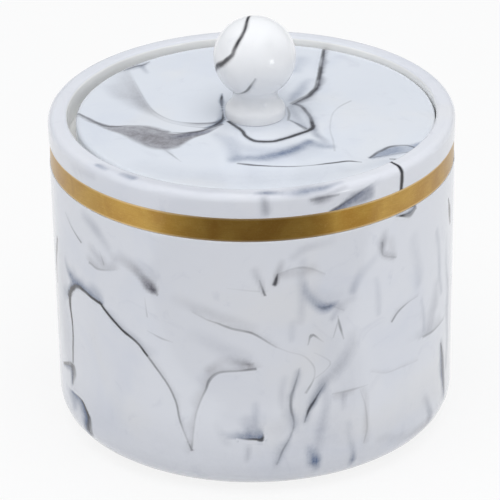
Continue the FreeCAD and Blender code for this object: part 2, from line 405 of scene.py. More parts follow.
VEIN_LAYERS = 3         # veins that come near each other are written to different layers
VEIN_PARTS = ("offset", "gap", "width", "ink")
FAR = 99.0              # millimetres, where no vein is near
SIDE_OVERLAP = 1.3      # smoke runs this far past its vein, whose crisp edge then cuts it
SIDE_BLUR = 0.9         # a one-sided patch begins over this width
FACET_BLUR = 0.45       # how much the mesh blunts a distance at a vein
LINE_SOFTNESS = 0.25    # a vein's edge fades over this width
FULL_INK_WIDTH = 0.24   # a vein of a smaller half width is fainter
HAZE_BEND = 0.35        # how far soft patches are pulled out of shape
BEND_WAVELENGTH = 13
SWELL_WAVELENGTH = 9    # smoke reaches further in some places than in others
RIM_TURN = 2            # the wall's way turns inwards this far below the rim's top
HAIR = 0.01             # two surfaces nearer than this are one

# The sides that the photograph doesn't show, and the inside, get strokes drawn at random
UNSEEN_SEED = 31
OUTSIDE_BEARINGS = range(96, 262, 15)
OUTSIDE_HEIGHTS = (6, 68)
INSIDE_BEARINGS = range(-170, 180, 38)
INSIDE_DEPTHS = (10, 70)


class Stroke:
    """A line of points: two places in the surface's own coordinates, then its other values."""

    def turned_by(self, degrees):
        """The same stroke further round the jar."""
        turned_stroke = copy.copy(self)
        turned_stroke.points = self.points.copy()
        turned_stroke.points[:, 0] += degrees
        return turned_stroke


class Vein(Stroke):
    """A thin dark line, with smoke that trails off on its left and right.

    A point's third value is the half width in millimetres.
    """

    def __init__(self, points, ink=1.0, left=0.0, right=0.0, smoke=0.4, blue=0.3):
        self.points = np.array(points, float)
        self.ink = ink
        self.left = left
        self.right = right
        self.smoke = smoke
        self.blue = blue


class Haze(Stroke):
    """A soft patch along a line.

    A point's other values are the patch's reach in millimetres and its density. edge is the share
    of the reach over which the patch fades out. side is 1 for a patch that lies on the line's left
    only, and -1 for one on its right.
    """

    def __init__(self, points, blue=0.5, edge=1.0, side=0):
        self.points = np.array(points, float)
        self.blue = blue
        self.edge = edge
        self.side = side


def smoothed(points, steps=8):
    """A smooth line through a stroke's points: three places, then widths or densities."""
    padded = np.vstack([2 * points[0] - points[1], points, 2 * points[-1] - points[-2]])
    share = np.linspace(0, 1, steps, endpoint=False)[:, None]
    pieces = []
    for a, b, c, d in zip(padded, padded[1:], padded[2:], padded[3:]):
        pieces.append(0.5 * (2 * b + (c - a) * share + (2 * a - 5 * b + 4 * c - d) * share ** 2
                             + (3 * b - a - 3 * c + d) * share ** 3))
    line = np.vstack([*pieces, points[-1:]])
    line[:, 3:] = np.maximum(line[:, 3:], 0.03)
    return line


def nearest(places, line):
    """For each place: distance to the line, the way to it, the line's heading, how far along the
    line that is, and the stroke's other values there."""
    spots, values = line[:, :3], line[:, 3:]
    runs = np.diff(spots, axis=0)
    lengths = np.maximum(np.linalg.norm(runs, axis=1), 1e-6)
    passed = np.concatenate([[0], np.cumsum(lengths)])
    best = np.full(len(places), np.inf)
    away = np.zeros_like(places)
    heading = np.zeros_like(places)
    along = np.zeros(len(places))
    here = np.zeros((len(places), values.shape[1]))
    for i, run in enumerate(runs):
        share = np.clip(((places - spots[i]) @ run) / lengths[i] ** 2, 0, 1)
        gap = places - spots[i] - share[:, None] * run
        distance = np.linalg.norm(gap, axis=1)
        closer = distance < best
        best[closer] = distance[closer]
        away[closer] = gap[closer]
        heading[closer] = run / lengths[i]
        along[closer] = passed[i] + share[closer] * lengths[i]
        here[closer] = (values[i] + share[:, None] * (values[i + 1] - values[i]))[closer]
    return best, away, heading, along, here


def ripples(places, wavelength, seed):
    """A smooth random field around 0, from sine waves that cross each other."""
    rng = np.random.default_rng(seed)
    total = np.zeros(len(places))
    for scale in (1, 1, 0.6, 0.6, 0.35, 0.35):
        direction = rng.normal(size=3)
        direction /= np.linalg.norm(direction)
        phase = rng.uniform(0, 2 * math.pi)
        total += scale * np.sin(places @ direction * (2 * math.pi / (wavelength * scale)) + phase)
    return total / 2


def layers_for(lines):
    """A layer for each line, so that lines near each other are in different ones."""
    members = [[] for _ in range(VEIN_LAYERS)]
    chosen = []
    for line in lines:
        room = [min((np.linalg.norm(line[:, None, :3] - other[None, :, :3], axis=2).min()
                     for other in layer), default=FAR) for layer in members]
        best = room.index(max(room))
        members[best].append(line)
        chosen.append(best)
    return chosen


class Stain:
    """The vein and smoke values at a piece's vertices, which the marbled resin reads."""

    def __init__(self, piece, places, outward):
        """places are the vertices in the painting space, outward its upward direction at each."""
        spots = vertices_mm(piece)
        self.piece = piece
        self.places = places
        self.outward = outward
        self.swell = 0.8 + 0.4 * ripples(spots, SWELL_WAVELENGTH, 3)
        bend = np.column_stack([ripples(spots, BEND_WAVELENGTH, seed) for seed in range(3)])
        self.bent = places + HAZE_BEND * (bend - (bend * outward).sum(1, keepdims=True) * outward)
        count = len(places)
        self.clear = np.ones(count)
        self.weight = np.full(count, 1e-6)
        self.blue_sum, self.strongest, self.smoke, self.side, self.along, self.across = np.zeros((6, count))
        self.layers = [{"offset": np.full(count, FAR), "gap": np.full(count, FAR),
                        "width": np.full(count, 0.1), "ink": np.zeros(count),
                        "margin": np.full(count, FAR)} for _ in range(VEIN_LAYERS)]

    def near(self, places, line, reach):
        low, high = line[:, :3].min(0) - reach, line[:, :3].max(0) + reach
        return np.flatnonzero(((places > low) & (places < high)).all(1))

    def tint(self, where, amount, blue, along, across):
        """Counts a patch towards the smoke's tint, and towards its streaks where it is strongest."""
        self.blue_sum[where] += amount * blue
        self.weight[where] += amount
        leads = amount > self.strongest[where]
        spot = where[leads]
        self.strongest[spot] = amount[leads]
        self.along[spot] = along[leads]
        self.across[spot] = across[leads]

    def add_haze(self, haze, line):
        where = self.near(self.bent, line, line[:, 3].max())
        spots = self.places if haze.side else self.bent
        distance, away, heading, along, here = nearest(spots[where], line)
        reach, density = here.T
        fade = np.clip((1 - distance / reach) / haze.edge, 0, 1)
        amount = density * fade ** 2 * (3 - 2 * fade)
        across = (np.cross(heading, away) * self.outward[where]).sum(1)
        if haze.side:
            amount *= np.clip(0.5 + across * haze.side / SIDE_BLUR, 0, 1)
        self.clear[where] *= 1 - amount
        self.tint(where, amount, haze.blue, along, across)

    def add_vein(self, vein, line, layer):
        reach = line[:, 3].max() + 1.3 * max(vein.left, vein.right) + 3
        where = self.near(self.places, line, reach)
        distance, away, heading, along, here = nearest(self.places[where], line)
        width = here[:, 0]
        across = (np.cross(heading, away) * self.outward[where]).sum(1)
        for sign, trail in ((1, vein.left), (-1, vein.right)):
            if not trail:
                continue
            fade = 1 - np.clip((distance - width) / (trail * self.swell[where]), 0, 1)
            beside = np.where(across * sign > 0, 1, np.clip(1 - distance / SIDE_OVERLAP, 0, 1))
            amount = vein.smoke * fade ** 2 * beside
            self.tint(where, amount, vein.blue, along, across)
            more = amount > self.smoke[where]
            self.smoke[where[more]] = amount[more]
            self.side[where[more]] = 0 if vein.left and vein.right else sign
            self.across[where[more]] = across[more]
        values = self.layers[layer]
        closer = distance - width < values["margin"][where]
        spot = where[closer]
        values["margin"][spot] = (distance - width)[closer]
        values["offset"][spot] = across[closer]
        values["gap"][spot] = distance[closer]
        values["width"][spot] = width[closer]
        values["ink"][spot] = vein.ink * np.minimum(1, width[closer] / FULL_INK_WIDTH)

    def write(self):
        fields = {"haze": 1 - self.clear, "smoke": self.smoke, "smoke_side": self.side,
                  "smoke_blue": self.blue_sum / self.weight, "smoke_along": self.along,
                  "smoke_across": self.across}
        for number, values in enumerate(self.layers):
            for part in VEIN_PARTS:
                fields[f"vein_{number}_{part}"] = values[part]
        for name, values in fields.items():
            attribute = self.piece.data.attributes.new(name, "FLOAT", "POINT")
            attribute.data.foreach_set("value", values.astype(np.float32))


def stain(piece, places, outward, veins, hazes, to_surface):
    painting = Stain(piece, places, outward)
    for haze in hazes:
        painting.add_haze(haze, smoothed(to_surface(haze.points)))
    lines = [smoothed(to_surface(vein.points)) for vein in veins]
    for vein, line, layer in zip(veins, lines, layers_for(lines)):
        painting.add_vein(vein, line, layer)
    painting.write()


def unseen_strokes(rng, bearing, low, high):
    """A wandering vein and three smudges, for a side that the photograph doesn't show."""
    spot = np.array((bearing, rng.uniform(low, high)))
    heading = rng.uniform(0, 360)
    points = []
    for _ in range(rng.integers(4, 9)):
        points.append((spot[0], np.clip(spot[1], low, high), rng.uniform(0.12, 0.42)))
        heading += rng.normal(0, 22)
        turn = math.radians(heading)
        spot = spot + rng.uniform(4, 9) * np.array((math.cos(turn), math.sin(turn)))
    vein = Vein(points, rng.uniform(0.45, 0.9), rng.choice([0, 3, 8]), rng.choice([0, 0, 4]),
                rng.uniform(0.3, 0.6), rng.uniform(0, 1))
    hazes = []
    for _ in range(3):
        start = np.array((bearing + rng.uniform(-9, 9), rng.uniform(low, high)))
        step = rng.uniform(-4, 4, 2)
        density = rng.uniform(0.1, 0.3)
        hazes.append(Haze([(*(start + step * i), rng.uniform(1.2, 3), density * (1 + i))
                           for i in range(3)], rng.uniform(0, 1)))
    return vein, hazes


# Wall and rim: bearing, height; above the rim's height the way goes on inwards over the rim
WALL_VEINS = [
    # the arch at the left, its long leg down to the point, and the leg up from there
    Vein([(-65.8, 22.8, 0.35), (-65.4, 26, 0.5), (-64.8, 30, 0.45), (-65, 34.5, 0.5), (-66, 38.5, 0.8),
          (-66, 41, 1)]),
    Vein([(-66, 41, 1), (-63.9, 43.4, 0.9), (-61, 45.3, 0.65), (-57.9, 45.7, 0.55), (-52.3, 45.2, 0.42),
          (-48.7, 44.7, 0.42)], left=5, smoke=0.6, blue=0.9),
    Vein([(-48.7, 44.7, 0.42), (-44, 42, 0.42), (-40, 40, 0.4), (-35, 38, 0.36), (-32, 35.5, 0.3)], left=3,
         smoke=0.35, blue=0.6),
    Vein([(-32, 35.5, 0.3), (-28, 31.5, 0.24), (-25, 28, 0.22), (-23, 24, 0.22), (-22, 19.5, 0.2),
          (-20.5, 15.5, 0.14), (-18.7, 12, 0.22)], 0.6, left=2, smoke=0.2),
    Vein([(-18.7, 12, 0.2), (-18, 16.5, 0.12), (-17, 22, 0.12), (-15.5, 26, 0.12), (-14, 29, 0.2),
          (-13, 31.5, 0.35), (-11.5, 33, 0.32), (-9.5, 34, 0.2), (-5, 34.5, 0.16), (-0.5, 35, 0.3)],
         0.55, left=3.5, smoke=0.22, blue=0.1),
    # the line across the middle
    Vein([(-17.2, 49.4, 0.04), (-13.2, 47.9, 0.1), (-10.7, 47.3, 0.15), (-7.1, 46.1, 0.24),
          (-1.9, 45.1, 0.24), (0.9, 43.9, 0.2), (5.5, 41, 0.1)], 0.58, left=2, smoke=0.14, blue=0.2),
    Vein([(5.5, 41, 0.1), (9.5, 39.2, 0.07), (13, 38, 0.1), (15, 36.5, 0.13), (16.7, 34, 0.13),
          (16.5, 31, 0.12), (14.5, 28, 0.28)], 0.42),
    Vein([(12.2, 34, 0.04), (11.9, 32.5, 0.1), (10.8, 29.3, 0.2), (9.9, 26.6, 0.36), (9.9, 23.6, 0.3),
          (10.7, 19.4, 0.14), (9.5, 15.7, 0.1), (7.5, 12.5, 0.2), (5.9, 9, 0.1)], 0.5, left=2,
         right=3, smoke=0.32, blue=0.7),
    Vein([(13.9, 20, 0.08), (15.1, 23, 0.3), (16.5, 24.8, 0.24), (18, 27, 0.12), (19.5, 28.8, 0.04)], 0.9,
         left=1.5, right=2, smoke=0.4, blue=0.7),
    Vein([(-4.5, 15.9, 0.04), (-2.6, 15.8, 0.16), (-0.8, 15.8, 0.24), (0.4, 15.7, 0.3), (1.2, 15.5, 0.5),
          (1.7, 15.7, 0.4), (1.9, 16.6, 0.1)], 0.9, left=6, smoke=0.6, blue=0.85),
    # left: smudges and ticks
    Vein([(-29.6, 54, 0.1), (-28.6, 53.5, 0.7), (-28.2, 53, 0.4)], 0.5, blue=0.2),
    Vein([(-52.6, 54.4, 0.35), (-49, 54, 0.2), (-43, 55.5, 0.06)], 0.35, left=3.5, smoke=0.25, blue=0.1),
    Vein([(-48, 58.8, 0.05), (-46.8, 56.5, 0.18)], 0.4),
    Vein([(-66, 63, 0.05), (-62, 60.7, 0.16), (-57.5, 58.8, 0.24)], 0.5, left=2, smoke=0.15, blue=0.6),
    Vein([(-76, 52, 0.9), (-79, 46, 1.5), (-79, 40, 0.7)], 0.85),
    Vein([(-74.9, 18.4, 0.3), (-69.3, 20.5, 0.7), (-66.2, 21.2, 1.2), (-65.7, 19.6, 1.7),
          (-66.6, 16.6, 0.5)], right=2.5, smoke=0.7, blue=0.8),
    Vein([(-66.9, 13.9, 0.05), (-61, 13.8, 0.2), (-58.5, 12, 0.6), (-57, 10, 1.1), (-57.2, 6.6, 1.7)],
         right=8, smoke=0.85, blue=0.9),
    Vein([(-31, 42, 0.05), (-27, 41, 0.18), (-24, 40.6, 0.05)], 0.35, blue=0),
    Vein([(-31.9, 50.4, 0.05), (-31.4, 46.4, 0.14)], 0.35),
    # middle: ticks, the small lambda and the curls
    Vein([(1.6, 58.5, 0.1), (2.8, 55.3, 0.24)], 0.62),
    Vein([(6.3, 59.9, 0.15), (5.8, 58.2, 0.6)]),
    Vein([(-7, 56.7, 0.05), (1, 56, 0.12)], 0.2),
    Vein([(6.5, 60.4, 0.08), (11.6, 61.6, 0.16), (15.5, 61.1, 0.2), (19.5, 59.2, 0.1)], 0.26, right=2,
         smoke=0.12, blue=0),
    Vein([(17.5, 50.6, 0.06), (19.3, 49.8, 0.4), (20.6, 49.9, 0.3)], 0.4, blue=1),
    Vein([(20.5, 50.8, 0.12), (25.3, 48.3, 0.1)], 0.3),
    Vein([(22.5, 41.8, 0.08), (23.7, 45.2, 0.16)], 0.5),
    Vein([(23.8, 46.5, 0.06), (24.2, 44.5, 0.3), (25.4, 40.8, 0.1)], 0.75),
    Vein([(15, 41, 0.08), (15.9, 43.2, 0.22), (19, 41, 0.05)], 0.6),
    Vein([(17, 38, 0.05), (19.5, 36.5, 0.09), (21.5, 34.6, 0.12), (19.8, 32.8, 0.1), (16.5, 31, 0.08)],
         0.4),
    # right
    Vein([(38.2, 62.8, 0.24), (38.5, 59.8, 0.12), (43, 58, 0.14)], 0.38),
    Vein([(42.5, 41.2, 0.3), (44.8, 42.8, 0.26), (49, 43.9, 0.1), (53, 44, 0.05)], 0.5, left=2,
         smoke=0.15),
    Vein([(56.9, 31.6, 0.3), (62.4, 31, 0.24), (70.3, 30.8, 0.1)], 0.38, left=8, smoke=0.25, blue=0.4),
    Vein([(68.9, 24.5, 0.3), (70, 20.9, 1), (71.3, 17, 1.5), (72.1, 13.2, 1.1), (73, 9.8, 0.4)], 0.9,
         right=3, smoke=0.5, blue=0.8),
    Vein([(22.5, 26, 0.1), (27.5, 25.9, 0.26), (33, 26, 0.06)], 0.22, blue=0),
    Vein([(31, 25, 0.06), (32.8, 20, 0.14), (33.3, 14, 0.2), (32.3, 10.7, 0.12)], 0.25, blue=0),
    Vein([(34.9, 29.1, 0.06), (40, 27.4, 0.12), (46, 27, 0.12), (53.4, 26.2, 0.05)], 0.18, left=1.5,
         smoke=0.1, blue=0),
    Vein([(44, 68.6, 0.1), (47, 68, 0.5), (49.3, 67.7, 1), (50.8, 68.3, 0.7)], left=1.5, blue=0.9),
    Vein([(74, 62, 0.5), (75.5, 58.5, 1.5), (76.5, 55.5, 0.6)]),
    # above the strip and over the rim
    Vein([(46, 84.9, 0.35), (45.6, 82.5, 0.5), (45.4, 79, 0.72), (45.3, 75.3, 0.7)]),
    Vein([(22, 75.5, 0.35), (28, 77.6, 0.2), (33.2, 79.6, 0.04)], 0.5, right=4, smoke=0.4, blue=0.6),
    Vein([(16.5, 79, 0.4), (19, 79.2, 0.42), (23.5, 79.2, 0.18)], 0.28, blue=0.2),
]
WALL_HAZES = [
    Haze([(-55, 66, 2.5, 0.15), (-49.8, 64.4, 2.6, 0.26), (-44.9, 61.3, 2.2, 0.12)], 0.6),
    Haze([(-52, 59, 2, 0.1), (-47, 57, 2.4, 0.2)], 0.2),
    Haze([(-43, 59.4, 1.6, 0.1), (-38, 58.9, 2, 0.2), (-34.9, 57.8, 2.1, 0.35), (-32.3, 56.2, 2.1, 0.5),
          (-30.1, 54.5, 2.4, 0.7), (-28.8, 53.6, 1.9, 0.8)], 0.2, edge=0.8),
    Haze([(-40, 61, 1.8, 0.1), (-32, 59, 2.2, 0.12), (-28.5, 57, 2, 0.1)], 0.5),
    Haze([(-67.6, 49.4, 2, 0.2), (-65.6, 47.5, 2.6, 0.55), (-62.9, 46.3, 2.6, 0.75), (-58.6, 46.8, 2, 0.35),
          (-53.4, 46.4, 1.8, 0.2)], 0.85),
    Haze([(-22, 52, 2.5, 0.05), (-15.2, 50.5, 2.6, 0.13), (-8, 48.2, 2.4, 0.14), (0, 46.5, 2, 0.08)], 0.3),
    Haze([(-17.4, 43.4, 3, 0.05), (-12, 41.2, 3.5, 0.1), (-7.5, 39.6, 3.5, 0.12), (-2.8, 37.6, 3, 0.12)],
         0.5),
    Haze([(-13, 34.5, 1.8, 0.2), (-9, 37, 2.2, 0.12), (-4.2, 37, 2, 0.25), (-1, 35.8, 1.2, 0.5)], 0.1),
    Haze([(1, 16, 1.2, 0.6), (0.8, 18, 1.5, 0.4), (0.3, 20.5, 1.6, 0.28), (-0.3, 25, 1.6, 0.12)], 0.85),
    Haze([(-4, 16.6, 1.4, 0.2), (-1.6, 17.6, 2.4, 0.42), (-2, 21, 3, 0.16)], 0.8),
    Haze([(-11, 19, 2.4, 0.05), (-9, 15, 2, 0.12)], 0.5),
    Haze([(-2.7, 13.6, 1.3, 0.24), (-2.6, 10.5, 1.3, 0.24)], 0.5),
    Haze([(0.4, 61.6, 1.6, 0.14), (1.4, 59, 1.3, 0.22), (2.6, 56, 0.9, 0.35)], 0.4),
    Haze([(7.6, 63.2, 1.4, 0.14), (6.6, 60.8, 1.5, 0.3), (5.8, 58.4, 1.2, 0.5)], 0.2),
    Haze([(8, 60, 2.2, 0.1), (16, 60.5, 2.4, 0.12)], 0),
    Haze([(13.3, 63, 2, 0.1), (13.5, 55.5, 2, 0.16), (12.6, 47.6, 1.8, 0.1)], 0.7),
    Haze([(10.6, 47, 1.6, 0.08), (10.3, 42.5, 1.4, 0.12)], 0.7),
    Haze([(14.3, 57.3, 1.2, 0.12), (14.8, 54.5, 1.7, 0.3), (16.4, 52, 2.2, 0.36), (18.6, 50.3, 2.4, 0.54),
          (20.3, 49.8, 1.9, 0.6), (23, 50.6, 1.4, 0.2)], 0.95),
    Haze([(17, 54, 3.2, 0.08), (20, 52.5, 3.2, 0.1), (24, 52.5, 2.4, 0.06)], 0.9),
    Haze([(20.7, 51, 1.4, 0.12), (25.3, 48.3, 1.2, 0.14)], 0.5),
    Haze([(36, 59.5, 2, 0.06), (31.3, 56.6, 2.2, 0.14), (28, 52.8, 1.7, 0.24)], 0.8),
    Haze([(36, 53.8, 1.4, 0.08), (36.8, 49.3, 1.6, 0.12), (37.6, 44.8, 1.4, 0.12)], 0.7),
    Haze([(39, 65.5, 1.7, 0.14), (38.2, 62.3, 1.9, 0.5), (39, 60, 1.5, 0.34), (43, 58.3, 1.4, 0.24)], 0.3),
    Haze([(41, 63.2, 2.2, 0.1), (42.6, 58.9, 1.8, 0.14)], 0.1),
    Haze([(22.2, 46.7, 1.6, 0.2), (24, 49.5, 1.8, 0.14), (28, 50.5, 1.8, 0.08)], 0.6),
    Haze([(14.8, 22.5, 1.2, 0.3), (16, 25, 1.8, 0.5), (18.9, 28.8, 2.3, 0.34), (22.2, 31.8, 3, 0.26),
          (25.3, 34.7, 3.4, 0.24), (27.5, 37.8, 3, 0.18), (28.4, 40.8, 2.6, 0.1)], 0.55),
    Haze([(20.5, 27, 2, 0.14), (19, 19.4, 2.6, 0.22), (17.7, 11.9, 2.4, 0.14)], 0.7),
    Haze([(8, 32, 1.6, 0.08), (7.4, 27, 1.6, 0.14), (8, 22, 1.4, 0.1)], 0.6),
    Haze([(15.2, 12.5, 2, 0.24), (15.9, 10.5, 2.6, 0.5), (16.5, 9, 2.9, 0.8), (17, 7.6, 2.3, 0.85)], 1),
    Haze([(27.4, 17, 1.6, 0.08), (28, 10, 1.7, 0.2), (28.4, 5.6, 1.8, 0.62)], 0.8),
    Haze([(23.4, 25.6, 1.8, 0.16), (28, 25.6, 1.5, 0.12)], 0),
    Haze([(25.3, 25.5, 1.1, 0.24), (25.3, 21.5, 1.1, 0.1)], 0.4),
    Haze([(31.8, 25, 1.3, 0.1), (33.2, 17.7, 1.4, 0.18), (32.8, 10.9, 1.6, 0.16)], 0),
    Haze([(60.3, 33.2, 3.4, 0.18), (62.7, 38, 4, 0.2), (64.6, 42.8, 3.4, 0.14)], 0.45),
    Haze([(55.5, 42.2, 1.2, 0.14), (56.8, 33.4, 1.2, 0.16)], 0.7),
    Haze([(64, 58, 1.8, 0.18), (67.9, 40.1, 1.8, 0.24)], 0.7),
    Haze([(72, 52, 2, 0.1), (74.5, 38, 2.6, 0.35), (75.5, 26, 2.6, 0.4), (75, 16, 2, 0.3)], 0.7),
    Haze([(51, 60, 3, 0.08), (54, 48, 3, 0.12)], 0.7),
    Haze([(68.5, 25, 1.6, 0.3), (70.5, 19, 2.4, 0.6), (72, 13, 2, 0.55), (73, 8, 1.4, 0.3)], 0.7),
    Haze([(38, 9.4, 2.4, 0.1), (48.4, 7, 2.6, 0.14), (60, 5.5, 3, 0.35)], 0.1),
    Haze([(58.1, 13.5, 2.2, 0.16), (62.5, 6, 2.4, 0.5)], 0.6),
    Haze([(22, 67.4, 1.8, 0.06), (14.5, 66.5, 1.9, 0.14), (10.5, 64.5, 1.6, 0.1)], 0.5),
    # broad, faint greys: along the base a painted shade that darkens the wall towards the floor, then greys
    # at the right and at the left
    Haze([(-62, 12, 12, 0.04), (-40, 9, 14, 0.08), (-10, 7, 15, 0.11), (14, 7, 16, 0.13), (40, 8, 14, 0.09),
          (62, 12, 12, 0.05)], 0.5),
    Haze([(19, 43, 6, 0.02), (24, 36, 8, 0.08), (26, 28, 9, 0.1), (24, 18, 9, 0.08), (16, 16, 7, 0.06)], 0.5),
    Haze([(-70, 55, 6, 0.03), (-72, 42, 8, 0.14), (-70, 28, 8, 0.16), (-68, 18, 6, 0.08)], 0.4),
    Haze([(-7, 22, 5, 0.06), (1, 20, 5, 0.06), (7, 19, 5, 0.1), (13, 21, 5, 0.12), (14, 26, 4, 0.05)], 0.6),
    # above the strip and over the rim
    Haze([(22.5, 75.4, 0.9, 0.5), (27, 76.2, 1.8, 0.5), (31, 77.2, 2.6, 0.5), (33, 77.6, 2.4, 0.4)], 0.6,
         edge=0.6),
    Haze([(15.8, 79, 1.2, 0.2), (18, 79, 1.9, 0.6), (22, 80, 1.8, 0.26), (26, 81, 1.6, 0.14)], 0.3),
    Haze([(1, 83, 1.5, 0.2), (4, 83, 1.9, 0.58), (8, 82.6, 1.6, 0.2)], 0.8),
    Haze([(9, 82, 2, 0.14), (14, 82, 2.6, 0.5), (19, 82.6, 2.2, 0.45), (26, 83.3, 1.5, 0.16)], 0.8),
    Haze([(3, 80.5, 1.8, 0.3), (3.4, 77, 1.8, 0.45)], 0.4),
    Haze([(-50, 82.9, 1.6, 0.5), (-46.5, 82.7, 1.5, 0.2)], 0.9),
    Haze([(-40, 83.2, 1.6, 0.25), (-36, 83, 1.8, 0.45)], 0.9),
    Haze([(-60, 78, 1.6, 0.06), (-50, 78.6, 1.8, 0.1)], 0.5),
    Haze([(-48, 83.5, 3, 0.08), (-25, 84, 3.2, 0.14), (0, 84, 3.2, 0.16), (20, 84, 3, 0.14)], 0.5),
]
# The lid: x and y from its middle
LID_VEINS = [
    # the two swirls that meet at the knob's left
    Vein([(-43.9, 2.7, 0.24), (-40.8, -1.4, 0.5), (-37, -5.4, 0.45), (-34.1, -6.1, 0.24),
          (-31.4, -5.6, 0.12), (-28.1, -5.8, 0.1), (-25.3, -7.8, 0.1), (-22.1, -9.3, 0.12),
          (-17.4, -10.4, 0.24), (-13.7, -9.6, 0.26), (-10.9, -7.5, 0.26), (-8.7, -5.9, 0.5)], 0.6),
    Vein([(-30, 21, 0.03), (-28.4, 14.2, 0.07), (-26.9, 8.3, 0.07), (-25.4, 3.8, 0.1),
          (-23.5, 0.4, 0.1), (-20.7, -2.7, 0.08), (-17.5, -4.2, 0.12), (-13.7, -4.9, 0.3),
          (-10, -4.5, 0.5), (-8.2, -3.1, 0.6)], 0.5),
    Vein([(-25.4, 1.1, 0.04), (-22.1, -3.2, 0.06), (-17.5, -6.1, 0.1), (-12.8, -7.4, 0.2),
          (-10, -6.9, 0.24)], 0.35),
    Vein([(-8.2, 12.5, 0.05), (-8.3, 9.8, 0.35), (-8.3, 7.4, 0.4), (-8.2, 4.6, 0.12), (-8, 1.5, 0.1),
          (-8, -1.8, 0.24)], 0.9, left=0.8, right=1, smoke=0.35, blue=0.9),
    Vein([(-12.3, -7.7, 0.1), (-10.2, -6.2, 0.24), (-8.8, -4.4, 0.6), (-7.9, -2, 0.2)], 0.85, left=1.6,
         right=1.6, smoke=0.4, blue=0.9),
    # the loop round the knob's foot and the stroke up from it
    Vein([(-6.4, -4.4, 0.4), (-4.6, -7.4, 0.5), (-3.2, -10, 0.45), (-2.4, -12.8, 0.45),
          (-0.8, -15.2, 0.6), (1.2, -16.1, 0.7), (4.5, -15.9, 0.75), (7.8, -13.9, 0.7), (11.2, -11.4, 0.7),
          (13.7, -8.8, 0.75), (13.9, -5.9, 0.6), (13.1, -0.9, 0.5), (11.5, 3.9, 0.5), (9.8, 6.1, 0.6)],
         0.95, left=1.5, right=1.5, smoke=0.3, blue=0.5),
    Vein([(9.6, 6.4, 0.8), (11.6, 9, 0.9), (13.4, 11.3, 0.9), (15.2, 15.5, 0.75), (15.8, 19.5, 0.7),
          (16.2, 24, 0.65), (17, 32.5, 0.6), (17.7, 40.1, 0.35)], 0.85, right=2.2, smoke=0.6, blue=0.3),
    Vein([(8.3, -3.9, 0.2), (10.1, -6.1, 0.4), (11.9, -8.6, 0.6)], 0.55, left=2, smoke=0.3, blue=0.7),
    Vein([(7.9, 3.5, 0.15), (8.3, 0, 0.3), (8, -3.5, 0.25)], 0.5, blue=0.6),
    # the front line and the blue wedge at its right end
    Vein([(-3.9, -28.6, 0.4), (-1.5, -29.3, 0.5), (1, -29.8, 0.32), (7.1, -30.6, 0.24),
          (12.6, -30.2, 0.12), (18.7, -28.8, 0.34), (22, -28, 0.3), (24.8, -28.6, 0.12)], 0.85),
    Vein([(27.6, -25.8, 0.35), (30, -22.5, 0.5), (32.8, -20, 0.5), (36.2, -19.5, 0.3),
          (38.9, -20.6, 0.3), (41.6, -16.3, 0.3)], 0.7),
    Vein([(27.5, -26.2, 0.3), (30.9, -25.3, 0.16), (34.3, -24.1, 0.12), (37.7, -22.8, 0.3),
          (38.9, -20.6, 0.3)], 0.4),
    Vein([(32.5, -27.2, 0.2), (34.2, -27.3, 0.3), (35.9, -26.7, 0.15)], 0.7),
    Vein([(23.3, 6.8, 0.2), (20.6, 3.6, 0.2), (18.8, -1.1, 0.14), (18.1, -9.4, 0.12),
          (18.7, -16.2, 0.18), (18.9, -21.6, 0.2)], 0.25),
    Vein([(-22, -20.1, 0.06), (-20.2, -23.1, 0.24), (-18.3, -26.5, 0.08)], 0.3),
    Vein([(-32.3, 28.2, 0.2), (-30, 30.2, 0.4), (-28.1, 31, 0.3), (-26.8, 32.5, 0.12)], 0.5),
]
